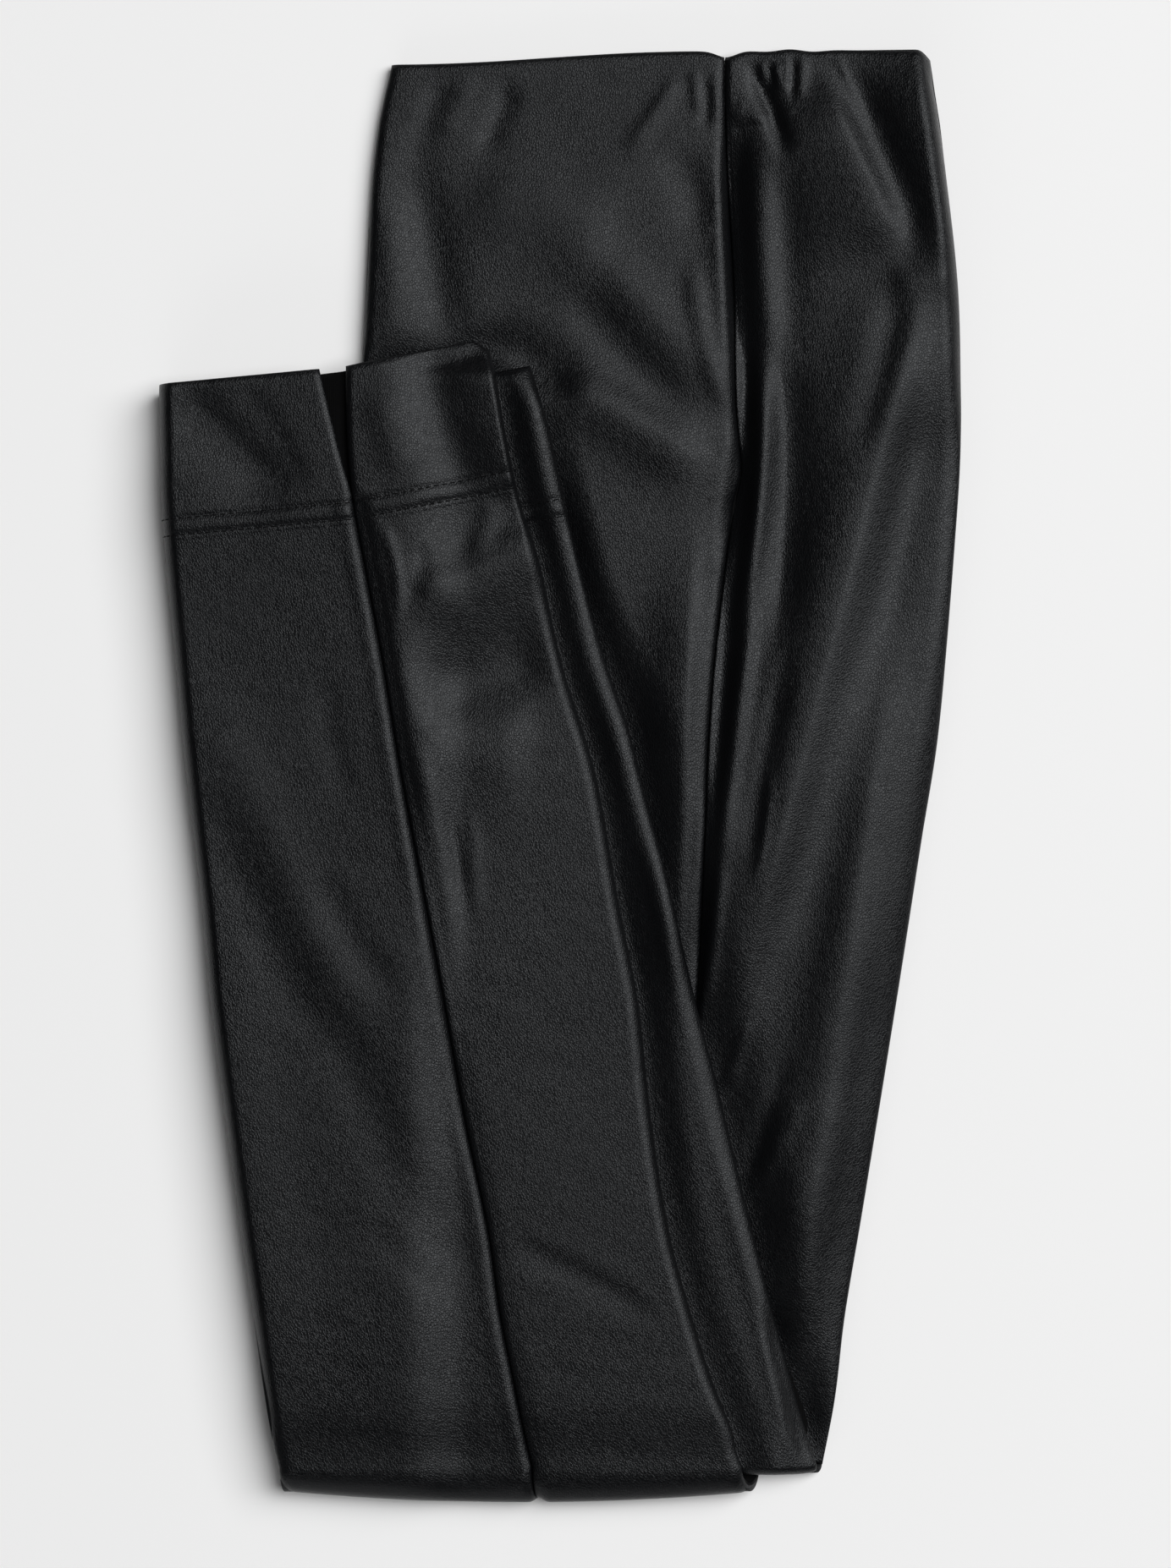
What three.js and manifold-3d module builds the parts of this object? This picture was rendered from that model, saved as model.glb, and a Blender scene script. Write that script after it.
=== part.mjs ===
// Pull-on leather-look trousers, laid leg on leg with the side seam in the middle and then folded
// once across the legs, so that both lower legs lie on the upper part and lean to one side.
// Millimetres. +X is the wearer's back, +Y the waist, +Z up; the cloth rests on z = 0.
//
// Layers, from the surface up: right leg (outer half down), left leg (outer half up); then, past the
// fold, left leg again and the right leg on top with its outer half up. Each leg is a flattened tube.
// The four panels that show are walls; what they hide is one solid, layered at its edges.

import * as THREE from "three";
import { mergeVertices } from "three/addons/utils/BufferGeometryUtils.js";
import Module from "manifold-3d";

// ---- driving dimensions ----
const WALL = 1.2; // one layer of coated jersey
const TURNED = 0.8; // added where an edge is turned in: waist casing and hems
const GAP = 0.3; // between pieces at a seam
const REST_GAP = 0.8; // between the folded-back legs and the cloth they lie on
const CASING = 36; // depth of the waist casing over its elastic
const HEM = 50; // depth of the turned hem
const WAIST_Y = 262; // the waist edge
const HEM_Y = 147; // the hem at the right leg's side seam
const SLIT = 46; // height of the slit at the hem's side seam
const SLIT_FRONT = 9; // how far the front edge of the slit stands off at the hem
const SLIT_BACK = 1.5;
const LEG_SHIFT = 20; // the left leg lies this much further back than the right one
const INNER_FOLD_Y = -252; // where the left leg turns over inside the right leg's fold
const FOLD_START = -249; // flat layers end here, and the fold begins
const DRAPE = 22; // a leg comes down over an edge within this distance
const STRIP_HIDDEN = 14; // the left leg's visible strip runs on this far under the right leg
const STRIP_SHORT = 8; // its hem ends this much lower than the right leg's
const EDGE_STEPS = 2; // facets round a crease
const ROUND = { under: 4, upper: 7, strip: 6.5, lower: 8 }; // width of a crease's rounding

// Each table has named columns; values between rows follow a smooth curve.
const table = (columns, rows) =>
  rows.map((row) => Object.fromEntries(columns.split(" ").map((name, i) => [name, row[i]])));

// The upper part as it shows: front edge, side seam and back edge of the left leg.
const UPPER = table("y front seam back", [
  [262, -61, 59.5, 129],
  [249, -63.7, 59.5, 135.1],
  [219, -67.7, 60.4, 139.4],
  [176, -70, 62.8, 144],
  [136, -72, 63.4, 145],
  [110, -74, 65.4, 144.4],
  [46, -77, 56.1, 139.7],
  [-22, -80, 52.2, 131],
  [-80, -81.5, 48.8, 122],
  [-159, -82, 42, 109.2],
  [-226, -80, 26, 99.4],
  [-252, -78.5, 14, 94.5],
]);

// The right leg under it, down to the fold.
const UNDER = table("y front seam back", [
  [262, -61, 59.5, 129],
  [219, -67.7, 59.5, 139.4],
  [136, -72, 57, 145],
  [97, -76, 50, 141],
  [11, -84, 32, 123],
  [-80, -91, 14, 104],
  [-159, -95, 4, 89],
  [-226, -97.5, -4, 76],
  [-262, -98, -6.6, 70.5],
]);

// The folded-back right leg on top.
const LOWER = table("y front seam back", [
  [160, -145, -78.4, -26],
  [120, -144.3, -76.5, -19.5],
  [99, -144, -74.4, -14.3],
  [41, -138.8, -63.7, 0.6],
  [2, -135.1, -57.3, 12.5],
  [-45, -129.6, -48.5, 21],
  [-124, -120.8, -34.2, 32.9],
  [-164, -115.3, -25.9, 39.3],
  [-218, -107.4, -16.8, 54.9],
  [-262, -98, -6.6, 70.5],
]);

// The back edge of the folded-back left leg below it.
const STRIP = table("y back", [
  [148, -10.7],
  [102, 0.9],
  [42, 16.2],
  [-10, 31.4],
  [-80, 48.5],
  [-131, 61.3],
  [-197, 77.8],
  [-252, 94.5],
]);

// Height of the flattened upper part, and of one flattened leg.
const HEIGHT = table("y upper leg", [
  [262, 8, 6],
  [220, 8, 6],
  [150, 9.4, 6],
  [110, 10, 5.8],
  [60, 10, 5.2],
  [-252, 10, 5],
]);

// Soft ridges (+) and troughs (-): a line through three points, its half width and its rise.
const FOLDS = table("on x0 y0 x1 y1 x2 y2 width rise", [
  ["upper", 56, 200, 60, 120, 48, 0, 5, 1.2], // front panel stands over the side seam
  ["upper", 64, 235, 72, 140, 58, 10, 6, -2.2], // valley behind the seam
  ["upper", 74, 205, 78, 90, 58, -50, 5, 1.3],
  ["upper", 137, 180, 112, 80, 68, -85, 9, 2], // long fold from the seat
  ["upper", 136, 100, 118, -25, 98, -150, 12, 1.1],
  ["upper", 68, 258, 79, 240, 82, 222, 4, -2], // gather at the elastic
  ["upper", -18, 255, -23, 238, -30, 224, 6, -0.8],
  ["upper", -33, 209, 25, 172, 60, 135, 12, 1],
  ["upper", 10, 186, 30, 150, 50, 124, 7, -1],
  ["lower", -77, 92, -52, -20, -14, -225, 4, 0.8], // front panel's edge at the side seam
  ["lower", -71, 80, -46, -25, -8, -225, 4, -1.1],
  ["lower", -123, 22, -98, -35, -69, -86, 10, 0.9],
  ["lower", -113, -12, -80, -90, -42, -167, 9, -0.9],
  ["lower", -52, 55, -35, 52, -12, 49, 9, -1.1],
  ["lower", -45, 26, -30, 24, -16, 24, 9, 1],
  ["lower", -137, 127, -116, 120, -104, 103, 6, -0.8],
  ["lower", -22, -167, 8, -184, 36, -196, 6, -0.7],
]);

// ---- curves and soft steps ----
const clamp = (v, low, high) => Math.min(high, Math.max(low, v));
const mix = (a, b, t) => a + (b - a) * t;
function soft(t) {
  const c = clamp(t, 0, 1);
  return c * c * (3 - 2 * c);
}

// A column of a table at y, on a cubic through its rows.
function at(rows, column, y) {
  const down = rows[0].y > rows[rows.length - 1].y ? rows : [...rows].reverse();
  const here = clamp(y, down[down.length - 1].y, down[0].y);
  let i = down.findIndex((row) => row.y <= here);
  i = clamp(i, 1, down.length - 1);
  const [a, b] = [down[i - 1], down[i]];
  const slope = (p, q) => (q[column] - p[column]) / (q.y - p.y);
  const before = down[Math.max(i - 2, 0)];
  const after = down[Math.min(i + 1, down.length - 1)];
  const span = b.y - a.y;
  const t = (here - a.y) / span;
  const startSlope = slope(before, b) * span;
  const endSlope = slope(a, after) * span;
  const t2 = t * t;
  const t3 = t2 * t;
  return (
    (2 * t3 - 3 * t2 + 1) * a[column] +
    (t3 - 2 * t2 + t) * startSlope +
    (3 * t2 - 2 * t3) * b[column] +
    (t3 - t2) * endSlope
  );
}

// How far the folds on one layer raise or sink the cloth at a place.
function relief(layer, x, y) {
  let sum = 0;
  for (const f of FOLDS) {
    if (f.on !== layer) continue;
    let nearest = Infinity;
    let along = 0;
    const ends = [[f.x0, f.y0], [f.x1, f.y1], [f.x2, f.y2]];
    for (let i = 0; i < 2; i++) {
      const [ax, ay] = ends[i];
      const [dx, dy] = [ends[i + 1][0] - ax, ends[i + 1][1] - ay];
      const t = clamp(((x - ax) * dx + (y - ay) * dy) / (dx * dx + dy * dy), 0, 1);
      const far = Math.hypot(x - ax - t * dx, y - ay - t * dy);
      if (far < nearest) [nearest, along] = [far, (i + t) / 2];
    }
    const fades = Math.sqrt(Math.sin(Math.PI * clamp(along, 0.04, 0.96)));
    sum += f.rise * fades * Math.exp(-((nearest / f.width) ** 2));
  }
  return sum;
}

// ---- heights of the layers ----
const foldY = (x) => -262.5 + 4 * ((x + 13) / 85) ** 2; // outline of the right leg's fold
const upperHeight = (y) => at(HEIGHT, "upper", y);
const legHeight = (y) => at(HEIGHT, "leg", y);
const hipShare = (y) => soft((y - 105) / 45); // 1 where the trousers are one tube, 0 at the legs

// Top of the right leg under the left one, coming down past its own edges.
function underTop(x, y) {
  const rise = soft((x - at(UNDER, "front", y) + DRAPE) / (DRAPE + 3));
  const fall = 1 - 0.7 * soft((x - at(UNDER, "back", y)) / DRAPE);
  return (upperHeight(y) / 2) * rise * mix(fall, 1, hipShare(y));
}

// Top of the upper part, as the folded-back legs find it, beyond its front edge too.
function upperTop(x, y) {
  const rise = soft((x - at(UPPER, "front", y) + DRAPE) / (DRAPE + 3));
  const covered = soft((at(STRIP, "back", y) - 2 - x) / 10) * soft((150 - y) / 10);
  const folds = relief("upper", x, y) * (1 - covered) * rise;
  return underTop(x, y) + (upperHeight(y) / 2) * rise + folds;
}

// Top of the folded-back left leg, and of the right leg on it.
const stripFront = (y) => at(LOWER, "front", y) + LEG_SHIFT;
function stripTop(x, y) {
  const rise = soft((x - stripFront(y) + 10) / 14);
  return upperTop(x, y) + rise * (REST_GAP + legHeight(y));
}
const lowerTop = (x, y) => stripTop(x, y) + GAP + legHeight(y) + relief("lower", x, y);

// Thickness of a wall, thicker at a turned edge.
const upperWall = (y) => WALL + TURNED * soft((y - WAIST_Y + CASING) / 4);
const lowerWall = (y) => WALL + TURNED * soft((y - HEM_Y + HEM) / 4);

// ---- stations ----
const steps = (from, to, count) =>
  Array.from({ length: count + 1 }, (_, i) => mix(from, to, i / count));
const UPPER_STATIONS = [WAIST_Y, 255, 246, ...steps(232, -245, 17)];
const HEM_TILT = 0.13; // the folded-back legs end on a slant
const lowerTilt = (y) => HEM_TILT * soft((y + 200) / 340);
const LOWER_STATIONS = [...steps(FOLD_START, 88, 14), 98, 104, 120, 134, HEM_Y];
const FOLD_ANGLES = steps(0, Math.PI, 6).slice(1, -1);

// The place on a slanted station where the leg reaches share f from its front to its back.
function slanted(y0, pick) {
  let y = y0;
  let x = pick(y);
  for (let i = 0; i < 4; i++) {
    y = y0 + lowerTilt(y0) * (x - at(LOWER, "seam", y0));
    x = pick(y);
  }
  return [x, y];
}

// ---- columns across a half panel, from its crease to the side seam ----
const CREASE = steps(0, Math.PI / 2, EDGE_STEPS).map((angle) => ({ angle }));
const acrossFlat = (shares) => shares.map((share) => ({ angle: Math.PI / 2, share }));
const COLUMNS = [...CREASE, ...acrossFlat([0.2, 0.42, 0.62, 0.8, 0.92, 1])];

// A back panel runs from crease to seam and a front one from seam to crease, as the layers inside do.
const columnsOf = (side) => (side === "back" ? COLUMNS : [...COLUMNS].reverse());

// x of a column, and its depth below the panel's outer face, at depth q inside the wall.
function across(column, edge, seam, round, half, q) {
  const inward = Math.sign(seam - edge);
  const rounded = q + (round - q) * (1 - Math.cos(column.angle));
  const start = edge + inward * rounded;
  const share = column.share ?? 0;
  return { x: mix(start, seam, share), depth: half - (half - q) * Math.sin(column.angle) };
}

// ---- closed solids from grids of points ----
const wasm = await Module();
wasm.setup();

function solidFrom(positions, faces) {
  const raw = new THREE.BufferGeometry();
  raw.setAttribute("position", new THREE.Float32BufferAttribute(positions.flat(), 3));
  raw.setIndex(faces.flat());
  const merged = mergeVertices(raw, 1e-4);
  const shape = (indices) =>
    new wasm.Manifold(
      new wasm.Mesh({
        numProp: 3,
        vertProperties: merged.attributes.position.array,
        triVerts: new Uint32Array(indices),
      }),
    );
  const solid = shape(merged.index.array);
  if (solid.volume() > 0) return solid;
  const turned = [...merged.index.array];
  for (let i = 0; i < turned.length; i += 3) {
    [turned[i + 1], turned[i + 2]] = [turned[i + 2], turned[i + 1]];
  }
  return shape(turned);
}

// A wall between two grids of the same size: rows of points [x, y, z].
function wall(outer, inner) {
  const rows = outer.length;
  const columns = outer[0].length;
  const id = (side, i, j) => (side * rows + i) * columns + j;
  const faces = [];
  const quad = (a, b, c, d) => faces.push([a, b, c], [a, c, d]);
  for (let i = 0; i + 1 < rows; i++) {
    for (let j = 0; j + 1 < columns; j++) {
      quad(id(0, i, j), id(0, i, j + 1), id(0, i + 1, j + 1), id(0, i + 1, j));
      // the inner face keeps the outer face's diagonals, turned round
      faces.push([id(1, i, j), id(1, i + 1, j + 1), id(1, i, j + 1)]);
      faces.push([id(1, i, j), id(1, i + 1, j), id(1, i + 1, j + 1)]);
    }
    quad(id(0, i, 0), id(0, i + 1, 0), id(1, i + 1, 0), id(1, i, 0));
    quad(id(0, i + 1, columns - 1), id(0, i, columns - 1), id(1, i, columns - 1), id(1, i + 1, columns - 1));
  }
  for (let j = 0; j + 1 < columns; j++) {
    quad(id(0, 0, j + 1), id(0, 0, j), id(1, 0, j), id(1, 0, j + 1));
    quad(id(0, rows - 1, j), id(0, rows - 1, j + 1), id(1, rows - 1, j + 1), id(1, rows - 1, j));
  }
  return solidFrom([...outer.flat(), ...inner.flat()], faces);
}

// A solid through closed sections with the same number of points; u and v span a section's plane.
const CAP_BEND = 1e-5;
function loft(sections, u, v) {
  const count = sections[0].length;
  const last = sections.length - 1;
  const faces = [];
  for (let i = 0; i < last; i++) {
    for (let j = 0; j < count; j++) {
      const k = (j + 1) % count;
      const [a, b] = [i * count + j, i * count + k];
      faces.push([a, b, b + count], [a, b + count, a + count]);
    }
  }
  // bent a little, so that no three points of a cap are in line and all of them stay in use
  const bent = (a, b) => new THREE.Vector2(a * (1 + CAP_BEND * b * b), b * (1 - CAP_BEND * a * a));
  const flat = (section) => section.map((point) => bent(point[u], point[v]));
  const clockwise = THREE.ShapeUtils.isClockWise(flat(sections[0]));
  for (const [section, base, turn] of [[0, 0, !clockwise], [last, last * count, clockwise]]) {
    for (const [a, b, c] of THREE.ShapeUtils.triangulateShape(flat(sections[section]), [])) {
      faces.push(turn ? [base + a, base + c, base + b] : [base + a, base + b, base + c]);
    }
  }
  return solidFrom(sections.flat(), faces);
}

// ---- the right leg's panels: under the upper part, round the fold, then on top to the hem ----
const PIECES = {
  front: { edge: "front", seamGap: -GAP / 2 },
  back: { edge: "back", seamGap: GAP / 2 },
};

// How far the slit has opened, from its top at the stitching to the hem.
const slitShare = (y) => clamp((y - HEM_Y + SLIT) / SLIT, 0, 1);

function rightPanel(side) {
  const { edge, seamGap } = PIECES[side];
  const columns = columnsOf(side);
  const under = (y, column, q) => {
    const half = mix(upperHeight(y) / 4, upperHeight(y) / 2 - GAP / 2, hipShare(y));
    const seam = at(UNDER, "seam", y) + seamGap;
    const p = across(column, at(UNDER, edge, y), seam, ROUND.under, half, q);
    return [p.x, y, p.depth];
  };
  const folded = (angle, column, q) => {
    const y0 = FOLD_START;
    const half = legHeight(y0) / 2;
    const round = mix(ROUND.under, ROUND.lower, angle / Math.PI);
    const turn = Math.PI - angle;
    const slide = (Math.cos(turn) + 1) / 2;
    const edgeX = mix(at(UNDER, edge, y0), at(LOWER, edge, y0), slide);
    const seam = mix(at(UNDER, "seam", y0), at(LOWER, "seam", y0), slide) + seamGap;
    const p = across(column, edgeX, seam, round, half, q);
    const height = lowerTop(p.x, y0);
    const reach = FOLD_START - foldY(p.x);
    const y = FOLD_START - (reach - p.depth) * Math.sin(angle);
    return [p.x, y, height / 2 - (height / 2 - p.depth) * Math.cos(angle)];
  };
  const top = (y0, column, q) => {
    let depth = 0;
    const [x, y] = slanted(y0, (at_y) => {
      const open = slitShare(y0) * (side === "front" ? -SLIT_FRONT : SLIT_BACK);
      const seam = at(LOWER, "seam", at_y) + seamGap + open;
      const p = across(column, at(LOWER, edge, at_y), seam, ROUND.lower, legHeight(at_y) / 2, q);
      depth = p.depth;
      return p.x;
    });
    return [x, y, lowerTop(x, y) - depth];
  };
  const grid = (thickness) => [
    ...UPPER_STATIONS.concat(FOLD_START).map((y) =>
      columns.map((c) => under(y, c, thickness(upperWall(y)))),
    ),
    ...FOLD_ANGLES.map((angle) => columns.map((c) => folded(angle, c, thickness(WALL)))),
    ...LOWER_STATIONS.map((y) => columns.map((c) => top(y, c, thickness(lowerWall(y))))),
  ];
  return { wall: wall(grid(() => 0), grid((t) => t)), top };
}

// ---- the left leg's panels above the fold ----
// z of the lip where the top panel's crease ends, half way down its tube.
function upperLip(x, y) {
  const low = underTop(x, y);
  const leg = low + (upperTop(x, y) - low) / 2;
  return mix(leg, upperHeight(y) / 2 + GAP / 2, hipShare(y));
}

function upperPoint(side, y, column, q) {
  const { edge, seamGap } = PIECES[side];
  const seam = at(UPPER, "seam", y) + seamGap;
  const edgeX = at(UPPER, edge, y);
  const half = upperTop(edgeX, y) - upperLip(edgeX, y);
  const p = across(column, edgeX, seam, ROUND.upper, half, q);
  return [p.x, y, upperTop(p.x, y) - p.depth];
}

function leftPanel(side) {
  const grid = (thickness) =>
    UPPER_STATIONS.map((y) =>
      columnsOf(side).map((column) => upperPoint(side, y, column, thickness(upperWall(y)))),
    );
  return wall(grid(() => 0), grid((t) => t));
}

// ---- the strip of the left leg's back panel that shows past the fold ----
const STRIP_COLUMNS = [...CREASE, ...acrossFlat([0.25, 0.5, 0.75, 1])];
const STRIP_END = -238; // from here down its hidden edge clears the right leg's fold
function stripPoint(y0, column, q) {
  let depth = 0;
  const [x, y] = slanted(y0, (at_y) => {
    const clear = soft((STRIP_END + 20 - y0) / 20);
    const hidden = mix(at(LOWER, "back", at_y) - STRIP_HIDDEN, 74, clear);
    const half = legHeight(at_y) / 2;
    const p = across(column, at(STRIP, "back", at_y), hidden, ROUND.strip, half, q);
    depth = p.depth;
    return p.x;
  });
  return [x, y, stripTop(x, y) - depth];
}

function stripFold(angle, column, q) {
  const y0 = FOLD_START;
  const p = across(column, at(STRIP, "back", y0), 74, ROUND.strip, legHeight(y0) / 2, q);
  const [low, high] = [underTop(p.x, y0), stripTop(p.x, y0)];
  const [middle, half] = [(low + high) / 2, (high - low) / 2];
  const y = FOLD_START - (FOLD_START - INNER_FOLD_Y - p.depth * 0.6) * Math.sin(angle);
  return [p.x, y, middle - (half - p.depth) * Math.cos(angle)];
}

function strip() {
  const stations = LOWER_STATIONS.map((y) => y - STRIP_SHORT * soft((y - 40) / 50));
  const grid = (thickness) => [
    ...FOLD_ANGLES.slice(1).map((a) => STRIP_COLUMNS.map((c) => stripFold(a, c, thickness(WALL)))),
    ...stations.map((y) => STRIP_COLUMNS.map((c) => stripPoint(y, c, thickness(lowerWall(y))))),
  ];
  return wall(grid(() => 0), grid((t) => t));
}

// ---- everything hidden: the inner halves of both legs, layered at the edges ----
const FLAT = COLUMNS.filter((column) => column.share);
const MOUTH = 3; // the layers inside end this far short of the waist and the hems
const LAYER_GAP = 0.75; // between a panel and the layers behind it
const inset = (thick) => thick + LAYER_GAP;

// Half of a crease, from its lip to the flat of its layer, pulled in by a depth.
function crease(edge, inward, round, lipZ, faceZ, depth) {
  return CREASE.map(({ angle }) => [
    edge + inward * (depth + (round - depth) * (1 - Math.cos(angle))),
    mix(lipZ, faceZ, Math.sin(angle)),
  ]);
}

// Right leg's inner half below, left leg's inner half above, and a groove between them.
function upperSection(y) {
  const q = inset(upperWall(y));
  const hip = hipShare(y);
  const groove = upperHeight(y) / 2;
  const lowLip = mix(groove / 2, groove - GAP / 2, hip);
  const out = q * hip;
  const side = (edge, inward) => {
    const [low, high] = [at(UNDER, edge, y), at(UPPER, edge, y)];
    const sag = underTop(high, y);
    const lip = upperLip(high, y);
    const over = Math.min(lowLip + GAP, groove - 0.3);
    const below = Math.max(lip - GAP, sag + 0.3);
    return [
      ...crease(low, inward, ROUND.under, Math.min(lowLip, groove - 0.5), q, q).reverse(),
      ...crease(low, inward, ROUND.under + 1, over, groove - 0.1, out),
      ...crease(high, inward, ROUND.upper, below, sag + 0.1, out).reverse(),
      ...crease(high, inward, ROUND.upper, Math.max(lip, sag + 0.5), upperTop(high, y) - q, q),
    ];
  };
  const top = [
    ...FLAT.map((column) => upperPoint("back", y, column, q)),
    ...[...FLAT].reverse().map((column) => upperPoint("front", y, column, q)),
  ].map(([x, , z]) => [x, z]);
  return [...side("back", -1), ...top, ...side("front", 1).reverse()].map(([x, z]) => [x, y, z]);
}

// Left leg below, right leg's inner half above, round the hidden edge of the strip.
function lowerSection(y0, panels) {
  const q = inset(lowerWall(y0));
  const place = (x) => [x, y0 + lowerTilt(y0) * (x - at(LOWER, "seam", y0))];
  const rest = (x, y) => upperTop(x, y) + REST_GAP * soft(upperTop(x, y) / 2);
  const half = legHeight(y0) / 2;
  const [front, back, stripBack] = [at(LOWER, "front", y0), at(LOWER, "back", y0), at(STRIP, "back", y0)];
  const point = ([x, z]) => [...place(x), z];

  const stripLip = stripTop(...place(stripBack)) - half - GAP;
  const face = rest(...place(stripBack - ROUND.strip));
  const stripLow = crease(stripBack, -1, ROUND.strip, stripLip, face, 0).reverse().map(point);
  const stripIn = STRIP_COLUMNS.map((column) => stripPoint(y0, column, q));
  const hidden = Math.min(stripIn[stripIn.length - 1][0] - GAP, back - ROUND.lower - 1);
  const under = stripTop(...place(hidden));
  const kept = stripIn.filter(([x]) => x > hidden + 1);
  while (kept.length < stripIn.length) {
    const [x, , z] = kept[kept.length - 1];
    kept.push(point([mix(x, hidden, 0.5), z]));
  }
  const step = [point([hidden, under - q]), point([hidden, under + GAP])];
  const backFace = stripTop(...place(back - ROUND.lower)) + GAP;
  const backLow = crease(back, -1, ROUND.lower, backFace + half - GAP, backFace, 0).reverse().map(point);
  const top = [
    ...columnsOf("back").map((column) => panels.back.top(y0, column, q)),
    ...columnsOf("front").map((column) => panels.front.top(y0, column, q)),
  ];
  const frontFace = rest(...place(front + ROUND.lower));
  const frontLip = lowerTop(...place(front)) - half - GAP;
  const frontLow = crease(front, 1, ROUND.lower, frontLip, frontFace, 0).map(point);
  const bottom = steps(front + ROUND.lower, stripBack - ROUND.strip, 9)
    .slice(1, -1)
    .map((x) => point([x, rest(...place(x))]));
  return [...stripLow, ...kept, ...step, ...backLow, ...top, ...frontLow, ...bottom];
}

// The layers where they turn over at the fold: half an ellipse, closed a little way back.
const TURN_BACK = 3;
const turnSection = (x, reach, low, high) => {
  const [middle, half] = [(low + high) / 2, (high - low) / 2];
  return [
    ...[0, ...FOLD_ANGLES, Math.PI].map((angle) => [
      x,
      FOLD_START - reach * Math.sin(angle),
      middle - half * Math.cos(angle),
    ]),
    [x, FOLD_START + TURN_BACK, high],
    [x, FOLD_START + TURN_BACK, low],
  ];
};

function innerLayers(panels) {
  const upper = UPPER_STATIONS.map((y) => Math.min(y, WAIST_Y - MOUTH)).concat(FOLD_START);
  const lower = LOWER_STATIONS.map((y) => Math.min(y, HEM_Y - STRIP_SHORT - MOUTH));
  const q = inset(WALL) + 0.1;
  const [frontEdge, seam, backEdge] = ["front", "seam", "back"].map((c) => at(LOWER, c, FOLD_START));
  const shares = FLAT.map((column) => column.share);
  const rightTurn = [
    ...[0, ...shares].map((share) => mix(frontEdge + ROUND.lower, seam, share)),
    ...[...shares].reverse().slice(1).map((share) => mix(backEdge - ROUND.lower, seam, share)),
    backEdge - ROUND.lower,
  ].map((x) => turnSection(x, FOLD_START - foldY(x) - q, q, lowerTop(x, FOLD_START) - q));
  const tip = at(STRIP, "back", FOLD_START);
  const leftTurn = [0.7, 0.4, 0.1].map((share) => {
    const x = tip - q - ROUND.strip * (1 - share);
    const [low, high] = [underTop(x, FOLD_START) + q, stripTop(x, FOLD_START) - q];
    const [middle, half] = [(low + high) / 2, ((high - low) / 2) * (1 - share * share * 0.6)];
    return turnSection(x, FOLD_START - INNER_FOLD_Y - q * 0.6, middle - half, middle + half);
  });
  return loft(upper.map(upperSection), 0, 2)
    .add(loft(lower.map((y) => lowerSection(y, panels)), 0, 2))
    .add(loft(rightTurn, 1, 2))
    .add(loft(leftTurn.reverse(), 1, 2));
}

// ---- the trousers ----
const leather = (color, roughness) =>
  new THREE.MeshStandardMaterial({ color, roughness, metalness: 0 });

function meshOf(name, solid, material) {
  const { vertProperties, triVerts } = solid.getMesh();
  const geometry = new THREE.BufferGeometry();
  geometry.setAttribute("position", new THREE.Float32BufferAttribute(vertProperties, 3));
  geometry.setIndex([...triVerts]);
  geometry.computeVertexNormals();
  const mesh = new THREE.Mesh(geometry, material);
  mesh.name = name;
  return mesh;
}

const panels = { front: rightPanel("front"), back: rightPanel("back") };
const trousers = new THREE.Group();
trousers.add(
  meshOf("right_front", panels.front.wall, leather(0x141416, 0.38)),
  meshOf("right_back", panels.back.wall, leather(0x151517, 0.38)),
  meshOf("left_front", leftPanel("front"), leather(0x131315, 0.38)),
  meshOf("left_back", leftPanel("back"), leather(0x141416, 0.38)),
  meshOf("left_back_folded", strip(), leather(0x131315, 0.38)),
  meshOf("inner_layers", innerLayers(panels), leather(0x0e0e10, 0.6)),
);

export default trousers;
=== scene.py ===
import math

import bpy
import numpy as np
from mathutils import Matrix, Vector


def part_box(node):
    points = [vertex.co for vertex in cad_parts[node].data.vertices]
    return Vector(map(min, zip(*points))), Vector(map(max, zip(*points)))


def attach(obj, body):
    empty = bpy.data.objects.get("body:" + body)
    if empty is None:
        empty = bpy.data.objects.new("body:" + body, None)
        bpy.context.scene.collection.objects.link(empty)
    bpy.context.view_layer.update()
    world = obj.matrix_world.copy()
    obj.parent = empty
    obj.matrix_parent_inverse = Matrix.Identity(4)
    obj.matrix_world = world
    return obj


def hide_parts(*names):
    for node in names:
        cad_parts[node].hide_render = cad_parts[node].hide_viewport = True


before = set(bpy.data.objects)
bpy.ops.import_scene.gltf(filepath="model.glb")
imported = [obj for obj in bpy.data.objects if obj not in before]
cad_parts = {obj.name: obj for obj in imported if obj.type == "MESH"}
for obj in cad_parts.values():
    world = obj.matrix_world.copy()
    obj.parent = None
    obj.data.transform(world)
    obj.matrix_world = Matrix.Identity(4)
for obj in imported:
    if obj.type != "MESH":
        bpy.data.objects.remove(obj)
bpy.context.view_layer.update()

# ---- the cut ----
# Pull-on trousers of black coated jersey: two fronts and two backs, each one panel from the turned
# waist casing to the turned hem. Here are the edges and seams of the flattened legs as they lie,
# in millimetres from the middle of the folded garment: +X to the back creases, +Y to the waist.
MM = 0.001
WAIST_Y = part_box("left_front")[1][1] / MM
FOLD_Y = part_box("right_front")[0][1] / MM
HEM_Y = 147
WALL = 1.1
SEAM_GAP = 0.3


def table(columns, rows):
    """Rows as named columns of numbers, from the lowest y to the highest."""
    return dict(zip(columns.split(), np.array(sorted(rows), float).T))


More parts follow.
